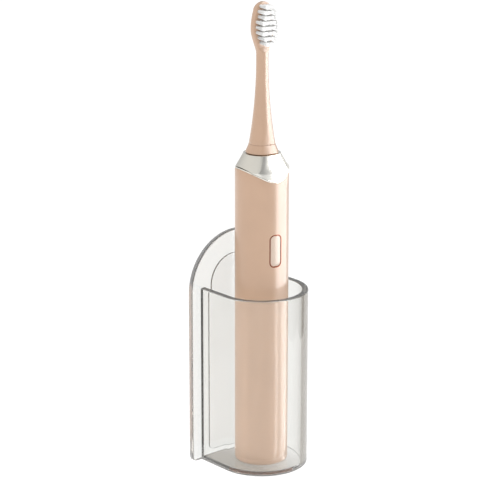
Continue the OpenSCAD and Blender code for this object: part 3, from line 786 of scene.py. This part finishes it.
def collar_trim():
    """Bright lip along the collar's edge, bevelled on its outside."""
    n = 256
    proud = 0.07
    hair = 0.01
    inside = SHELL_IN_R + 0.1
    profile = [
        (inside, hair),
        (HANDLE_R - 0.05, hair),
        (HANDLE_R + proud, 0.10),
        (HANDLE_R + proud, 0.30),
        (HANDLE_R - 0.25, TRIM_H - hair),
        (inside, TRIM_H - hair),
    ]
    rings = [
        round_ring(n, r, lambda a, r=r, up=up: edge_z(a, min(r, HANDLE_R), up))
        for r, up in profile
    ]
    piece = new_piece("collar_edge", *loft(rings, cycle=True), smooth_deg=25)
    return finish_piece(piece, "handle", "bright_trim", mats["bright_trim"], "collar_trim")


# ------------------------------------------------------------------ brush head

def sleeve_r(a, z):
    """Radius of the sleeve and neck: a cone that runs into a thin neck, with flats that fade out."""
    if z >= NECK_ARC_Z:
        return NECK_R
    if z >= CONE_TOP_Z:
        cone = NECK_R + (NECK_ARC_Z - z) ** 2 / (2 * NECK_ARC_R)
    else:
        cone = CONE_TOP_R + (CONE_TOP_Z - z) * CONE_SLOPE
    if z >= FLATS_TOP_Z:
        return cone
    t = (z - SLEEVE_Z) / (FLATS_TOP_Z - SLEEVE_Z)
    d = lerp(SLEEVE_R * FLATS_RATIO + FLATS_SWELL, FLATS_TOP_D + FLATS_SWELL, t)
    return smooth_min(cone, facet_r(a, d, FLATS_CURVE_R), FLATS_BLEND)


def ring_r(a, z):
    """Radius of the base ring, with the same flats."""
    t = (z - HEAD_BASE_Z) / (SLEEVE_Z - HEAD_BASE_Z)
    cone = lerp(BASE_RING_R, SLEEVE_R, t)
    d = cone * FLATS_RATIO + FLATS_SWELL
    return smooth_min(cone, facet_r(a, d, FLATS_CURVE_R), FLATS_BLEND)


def head_half_width(z):
    """Half width of the head plate: an egg, widest below its middle."""
    wide_r = HEAD_W / 2
    tip_z = TOP_Z - HEAD_TIP_R
    wide_z = TOP_Z - WIDEST_SHARE * HEAD_L
    if z >= tip_z:
        return math.sqrt(max(HEAD_TIP_R * HEAD_TIP_R - (z - tip_z) ** 2, 0.0))
    if z >= wide_z:
        t = (tip_z - z) / (tip_z - wide_z)
        return lerp(HEAD_TIP_R, wide_r, math.sin(t * math.pi / 2) ** 0.9)
    t = (wide_z - z) / (wide_z - NECK_TOP_Z)
    return lerp(wide_r, NECK_R, ease(t ** 1.05))


def head_section(z, n):
    """Cross-section of neck or head plate at a height: round at the neck, flat-fronted at the head."""
    blend_h = 4.5
    tip_h = 6.0
    tip_back = 0.9
    tip_round = 0.4
    # Powers of a superellipse: 2 is round, more is squarer
    round_power = 2.0
    front_power = 6.0
    back_power = 2.6
    grow = ease((z - NECK_TOP_Z) / blend_h)
    half_w = head_half_width(z) if z > NECK_TOP_Z else NECK_R
    back_depth = lerp(NECK_R, PLATE_BACK, grow)
    front_depth = lerp(NECK_R, HEAD_T - PLATE_BACK, grow)
    # The back curves forward and the front rounds off towards the tip
    to_tip = max(0.0, 1 - (TOP_Z - z) / tip_h)
    back_depth = lerp(back_depth, tip_back, to_tip ** 2.2)
    front_depth -= tip_round * to_tip ** 6
    front_square = lerp(round_power, front_power, grow)
    back_square = lerp(round_power, back_power, grow)
    pts = []
    for a in angles(n):
        s = math.sin(a)
        c = math.cos(a)
        power = 2 / (front_square if c > 0 else back_square)
        depth = -front_depth if c > 0 else back_depth
        x = half_w * math.copysign(abs(s) ** power, s)
        pts.append((x, depth * abs(c) ** power, z))
    return pts


def brush_sleeve():
    """Sleeve, neck and head plate as one moulding, hollow at the foot."""
    n = 128
    edge = 0.18
    foot_z = SLEEVE_Z + 0.02
    # A ring this small closes the socket's end
    point_r = 0.02
    rings = [
        round_ring(n, point_r, SOCKET_TOP_Z),
        round_ring(n, SOCKET_R, SOCKET_TOP_Z),
        round_ring(n, SOCKET_R, HOLLOW_TOP_Z),
        round_ring(n, HOLLOW_R, HOLLOW_TOP_Z),
        round_ring(n, HOLLOW_R, foot_z),
        round_ring(n, lambda a: sleeve_r(a, SLEEVE_Z) - edge, foot_z),
        round_ring(n, lambda a: sleeve_r(a, SLEEVE_Z) - edge * 0.3, SLEEVE_Z + edge * 0.4),
    ]
    sleeve_steps = 60
    for i in range(sleeve_steps + 1):
        z = lerp(SLEEVE_Z + edge, NECK_TOP_Z, i / sleeve_steps)
        rings.append(round_ring(n, lambda a, z=z: sleeve_r(a, z), z))
    head_steps = 64
    for i in range(1, head_steps):
        # Steps get finer towards the round tip
        share = 1 - (1 - i / head_steps) ** 1.8
        rings.append(head_section(lerp(NECK_TOP_Z, TOP_Z, share), n))
    rings.append(head_section(TOP_Z - 0.004, n))
    piece = new_piece("brush_sleeve_and_head", *loft(rings), smooth_deg=50)
    return finish_piece(piece, "brush_head", "champagne_plastic", mats["champagne_plastic"], "brush_sleeve")


def base_ring():
    """Ring at the foot of the sleeve, a fine groove below it and one above."""
    n = 128
    edge = 0.16
    steps = 12
    z0 = HEAD_BASE_Z
    z1 = SLEEVE_Z - 0.03
    rings = [
        round_ring(n, HOLLOW_R, z0),
        round_ring(n, lambda a: ring_r(a, z0) - edge, z0),
        round_ring(n, lambda a: ring_r(a, z0) - edge * 0.3, z0 + edge * 0.3),
    ]
    for i in range(steps + 1):
        z = lerp(z0 + edge, z1 - edge, i / steps)
        rings.append(round_ring(n, lambda a, z=z: ring_r(a, z), z))
    rings.append(round_ring(n, lambda a: ring_r(a, z1) - edge * 0.3, z1 - edge * 0.3))
    rings.append(round_ring(n, lambda a: ring_r(a, z1) - edge, z1))
    rings.append(round_ring(n, HOLLOW_R, z1))
    piece = new_piece("head_base_ring", *loft(rings, cycle=True), smooth_deg=50)
    return finish_piece(piece, "brush_head", "champagne_plastic", mats["champagne_plastic"], "base_ring")


def tuft_places():
    """(x, z, is_outer) of every tuft on the head plate."""
    rows = len(TUFT_ROWS)
    places = []
    for i, count in enumerate(TUFT_ROWS):
        for j in range(count):
            outer = i in (0, rows - 1) or j in (0, count - 1)
            x = (j - (count - 1) / 2) * TUFT_ACROSS
            places.append((x, TOP_Z - TUFT_START - i * TUFT_PITCH, outer))
    return places


def filament(verts, faces, root, tip, r, sides=6):
    """Adds one round-tipped filament from root to tip."""
    along = (tip - root).normalized()
    side = along.cross(Vector((0, 0, 1))).normalized()
    up = side.cross(along)
    length = (tip - root).length
    base = len(verts)
    # (place along the filament, share of the radius)
    levels = ((0.0, 1.0), (0.5, 1.0), (1 - r / length, 1.0), (1 - 0.35 * r / length, 0.72))
    for t, k in levels:
        for i in range(sides):
            a = TAU * i / sides
            verts.append(root + along * (length * t) + (side * math.cos(a) + up * math.sin(a)) * (r * k))
    verts.append(tip)
    last = base + (len(levels) - 1) * sides
    for low in range(base, last, sides):
        for i in range(sides):
            i2 = (i + 1) % sides
            faces.append((low + i, low + i2, low + sides + i2, low + sides + i))
    for i in range(sides):
        faces.append((last + i, last + (i + 1) % sides, last + sides))
    faces.append(tuple(base + i for i in range(sides))[::-1])


def tufts(name, want_outer, node):
    """Bundles of nylon filaments, slightly splayed and cut to a soft wave."""
    rng = random.Random(11 if want_outer else 12)
    # Each circle of filaments in a tuft: how many, and how far from its middle
    circles = ((1, 0.0), (6, 0.26), (11, 0.48), (16, 0.69))
    inner_shorter = 0.6
    verts = []
    faces = []
    front_y = -(HEAD_T - PLATE_BACK)
    root_y = front_y + 0.6
    for x, z, outer in tuft_places():
        if outer != want_outer:
            continue
        length = TUFT_L if outer else TUFT_L - inner_shorter
        for count, rad in circles:
            for i in range(count):
                a = TAU * i / count + rng.uniform(-0.12, 0.12)
                dx = math.cos(a) * rad
                dz = math.sin(a) * rad
                splay = 1.38 + rng.uniform(-0.05, 0.05)
                trim = rng.uniform(0.0, 0.3) + 0.3 * (rad / TUFT_R) ** 2
                root = Vector((x + dx, root_y, z + dz))
                tip = Vector((x + dx * splay, front_y - length + trim, z + dz * splay))
                filament(verts, faces, root, tip, FILAMENT_R)
    piece = new_piece(name, verts, faces, smooth_deg=60)
    return finish_piece(piece, "brush_head", "bristle_white", mats["bristle_white"], node)


# ------------------------------------------------------------------ build

clear_pieces = [clear_holder(), clear_floor(), adhesive_pad()]
handle_shell()
button_bezel()
button_cap()
collar()
collar_trim()
brush_sleeve()
base_ring()
bristles = [tufts("outer_bristles", True, "outer_tufts"), tufts("inner_bristles", False, "inner_tufts")]

# The other CAD nodes keep their shape and get the material of their slot
slots = {part["node"]: part["material_slot"] for part in frame["record"]["subparts"]}
for node_name, node_obj in frame["nodes"].items():
    node_obj.data.materials.clear()
    node_obj.data.materials.append(mats[slots[node_name]])


# ------------------------------------------------------------------ studio

scene = bpy.context.scene
scene.view_settings.view_transform = "Standard"
scene.view_settings.look = "None"

VIEW_AZ = math.radians(-40.65)
VIEW_LIFT_DEG = 16.11
VIEW_DISTANCE = 1.061
FOCAL_MM = 150.0
SENSOR_MM = 36.0
# The camera looks at a point in the plate's back plane, this far from its middle and foot
AIM_X = 0.00532
AIM_UP = 0.1161
look_at = Vector((AIM_X, plate_hi.y, plate_lo.z + AIM_UP))
right = Vector((math.cos(VIEW_AZ), math.sin(VIEW_AZ), 0.0))
toward = Vector((math.sin(VIEW_AZ), -math.cos(VIEW_AZ), 0.0))


def around(turn_deg, lift_deg=0.0):
    """Direction from the object, turned to the right of the camera and lifted."""
    t = math.radians(turn_deg)
    e = math.radians(lift_deg)
    return (toward * math.cos(t) + right * math.sin(t)) * math.cos(e) + Vector((0, 0, math.sin(e)))


back = around(0, VIEW_LIFT_DEG)
cam_data = bpy.data.cameras.new("camera")
cam_data.lens = FOCAL_MM
cam_data.sensor_width = SENSOR_MM
cam_data.clip_start = 0.01
cam = bpy.data.objects.new("camera", cam_data)
scene.collection.objects.link(cam)
cam.location = look_at + back * VIEW_DISTANCE
cam.rotation_euler = back.to_track_quat("Z", "Y").to_euler()
scene.camera = cam


def sheet(name, half_w, half_h, z=0.0):
    """A flat rectangle in the XY plane."""
    mesh = bpy.data.meshes.new(name)
    corners = [(-half_w, -half_h, z), (half_w, -half_h, z), (half_w, half_h, z), (-half_w, half_h, z)]
    mesh.from_pydata(corners, [], [(0, 1, 2, 3)])
    obj = bpy.data.objects.new(name, mesh)
    scene.collection.objects.link(obj)
    return obj


def card(name, turn_deg, lift_deg, distance, size, strength):
    """A glowing panel facing the brush, that only reflections see."""
    panel = sheet(name, size[0] / 2, size[1] / 2)
    where = around(turn_deg, lift_deg)
    panel.location = Vector((brush_axis.x, brush_axis.y, 0.06)) + where * distance
    panel.rotation_euler = where.to_track_quat("Z", "Y").to_euler()
    mat = bpy.data.materials.new(name)
    mat.use_nodes = True
    tree = mat.node_tree
    tree.nodes.clear()
    glow = tree.nodes.new("ShaderNodeEmission")
    glow.inputs["Strength"].default_value = strength
    out = tree.nodes.new("ShaderNodeOutputMaterial")
    tree.links.new(glow.outputs["Emission"], out.inputs["Surface"])
    panel.data.materials.append(mat)
    panel.visible_camera = False
    panel.visible_diffuse = False
    panel.visible_transmission = False
    panel.visible_shadow = False
    return panel


def link_light(panels, pieces, link_state):
    """Lets the panels light only these pieces (INCLUDE), or all but these (EXCLUDE)."""
    group = bpy.data.collections.new("linked_to_" + panels[0].name)
    for piece in pieces:
        group.objects.link(piece)
    for member in group.collection_objects:
        member.light_linking.link_state = link_state
    for panel in panels:
        panel.light_linking.receiver_collection = group


def area_lamp(name, turn_deg, lift_deg, size, energy):
    """A square lamp, a metre from where the camera looks, that reflections don't see."""
    data = bpy.data.lights.new(name, "AREA")
    data.size = size
    data.energy = energy
    lamp = bpy.data.objects.new(name, data)
    scene.collection.objects.link(lamp)
    where = around(turn_deg, lift_deg)
    lamp.location = look_at + where
    lamp.rotation_euler = where.to_track_quat("Z", "Y").to_euler()
    lamp.visible_glossy = False
    return lamp


def pale_floor(drop, half_size):
    """Pale floor, well below the hanging cup. The acrylic doesn't show it."""
    floor = sheet("floor", half_size, half_size, plate_lo.z - drop)
    pale = Nodes("pale_floor")
    cloud = pale.remap(pale.noise(3, 2), 0, 1)
    pale.set(Base_Color=pale.tint(cloud, (0.95, 0.95, 0.95), (0.97, 0.97, 0.97)), Roughness=0.9)
    pale.set(Emission_Color=(1, 1, 1, 1), Emission_Strength=0.12)
    floor.data.materials.append(pale.mat)
    floor.visible_transmission = False


boxes = [
    card("soft_box", 81, 5, 1.2, (0.84, 2.0), 9.0),
    card("side_box", 114, 5, 1.2, (0.64, 2.0), 6.0),
]
# Polished acrylic would mirror the boxes as hard white bars
link_light(boxes, clear_pieces, "EXCLUDE")
link_light([area_lamp("bristle_light", 40, 30, 0.8, 9.0)], bristles, "INCLUDE")
pale_floor(0.35, 6.0)


# Brightness of the room by the angle to the right of the camera, in degrees: (angle, red, green, blue)
MIRRORED_ROOM = (
    (-180, 0.56, 0.56, 0.56),
    (-145, 0.62, 0.61, 0.59),
    (-115, 0.78, 0.77, 0.74),
    (-85, 0.86, 0.84, 0.80),
    (-10, 0.79, 0.78, 0.75),
    (8, 0.38, 0.38, 0.38),
    (34, 0.40, 0.40, 0.40),
    (60, 0.95, 0.95, 0.95),
    (118, 1.00, 1.00, 1.00),
    (146, 0.66, 0.65, 0.63),
    (180, 0.56, 0.56, 0.56),
)
ROOM_BEHIND_GLASS = (
    (-180, 0.96, 0.965, 0.955),
    (50, 0.98, 0.98, 0.97),
    (96, 0.92, 0.92, 0.91),
    (120, 0.80, 0.79, 0.77),
    (150, 0.80, 0.79, 0.77),
    (170, 0.93, 0.93, 0.92),
    (180, 0.96, 0.965, 0.955),
)
# Two lamps that what stands in the cup mirrors. The gap is where the flat plate would mirror them.
LAMPS_BEHIND_GLASS = (
    (-180, 0.0, 0.0, 0.0),
    (56, 0.0, 0.0, 0.0),
    (64, 1.0, 1.0, 1.0),
    (71, 1.0, 1.0, 1.0),
    (72, 0.0, 0.0, 0.0),
    (93, 0.0, 0.0, 0.0),
    (94, 1.0, 1.0, 1.0),
    (98, 1.0, 1.0, 1.0),
    (102, 0.6, 0.6, 0.6),
    (126, 0.6, 0.6, 0.6),
    (132, 0.0, 0.0, 0.0),
    (180, 0.0, 0.0, 0.0),
)
LAMP_STRENGTH = 7.0
# Light that reaches matt surfaces through the acrylic
CUP_LIGHT = 1.62
# What a wall of acrylic shows where it mirrors on its inside
WALL_GREY = (0.42, 0.39, 0.35)
# A light path has come through this many surfaces of acrylic once it has been inside the cup
SURFACES_TO_CUP = 3


def studio_world():
    """White room that reflections see darker in places, and acrylic a little greyer."""
    world = bpy.data.worlds.new("white_room")
    world.use_nodes = True
    tree = world.node_tree
    tree.nodes.clear()

    def add(kind, **props):
        node = tree.nodes.new(kind)
        for key, value in props.items():
            setattr(node, key, value)
        return node

    def plug(socket, value):
        if isinstance(value, bpy.types.NodeSocket):
            tree.links.new(value, socket)
        else:
            socket.default_value = value

    def math_node(operation, a, b):
        node = add("ShaderNodeMath", operation=operation)
        plug(node.inputs[0], a)
        plug(node.inputs[1], b)
        return node.outputs[0]

    def mix(factor, a, b, blend_type="MIX"):
        node = add("ShaderNodeMix", data_type="RGBA", blend_type=blend_type)
        plug(node.inputs["Factor"], factor)
        plug(node.inputs["A"], a)
        plug(node.inputs["B"], b)
        return node.outputs["Result"]

    def along(axis):
        node = add("ShaderNodeVectorMath", operation="DOT_PRODUCT")
        tree.links.new(add("ShaderNodeTexCoord").outputs["Generated"], node.inputs[0])
        node.inputs[1].default_value = axis
        return node.outputs["Value"]

    def is_over(value, limit):
        return math_node("GREATER_THAN", value, limit)

    turn = math_node("MULTIPLY", math_node("ARCTAN2", along(right), along(toward)), 180 / math.pi)
    turn_share = math_node("DIVIDE", math_node("ADD", turn, 180), 360)

    def by_turn(stops):
        node = add("ShaderNodeValToRGB")
        tree.links.new(turn_share, node.inputs["Fac"])
        elements = node.color_ramp.elements
        elements[0].position = 0.0
        elements[1].position = 1.0
        for stop in stops[1:-1]:
            elements.new((stop[0] + 180) / 360)
        for element, stop in zip(elements, stops):
            element.color = (*stop[1:], 1)
        return node.outputs["Color"]

    def grey(value):
        return (value, value, value, 1)

    path = add("ShaderNodeLightPath").outputs
    reflected = is_over(path["Glossy Depth"], 0.5)
    scattered = is_over(path["Diffuse Depth"], 0.5)
    in_cup = is_over(path["Transmission Depth"], SURFACES_TO_CUP - 0.5)
    # Reflected, and not through the cup. The mix takes a value below zero as none.
    in_wall = math_node("SUBTRACT", reflected, in_cup)
    mirrored = by_turn(MIRRORED_ROOM)
    lamps = mix(1.0, by_turn(LAMPS_BEHIND_GLASS), grey(LAMP_STRENGTH), "MULTIPLY")
    through = mix(in_wall, by_turn(ROOM_BEHIND_GLASS), (*WALL_GREY, 1))
    behind = mix(math_node("MULTIPLY", reflected, in_cup), through, mix(1.0, mirrored, lamps, "ADD"))
    behind = mix(scattered, behind, grey(CUP_LIGHT))
    seen = mix(path["Is Glossy Ray"], grey(1), mirrored)
    seen = mix(path["Is Transmission Ray"], seen, behind)
    sky = add("ShaderNodeBackground")
    tree.links.new(seen, sky.inputs["Color"])
    out = add("ShaderNodeOutputWorld")
    tree.links.new(sky.outputs["Background"], out.inputs["Surface"])
    return world


scene.world = studio_world()
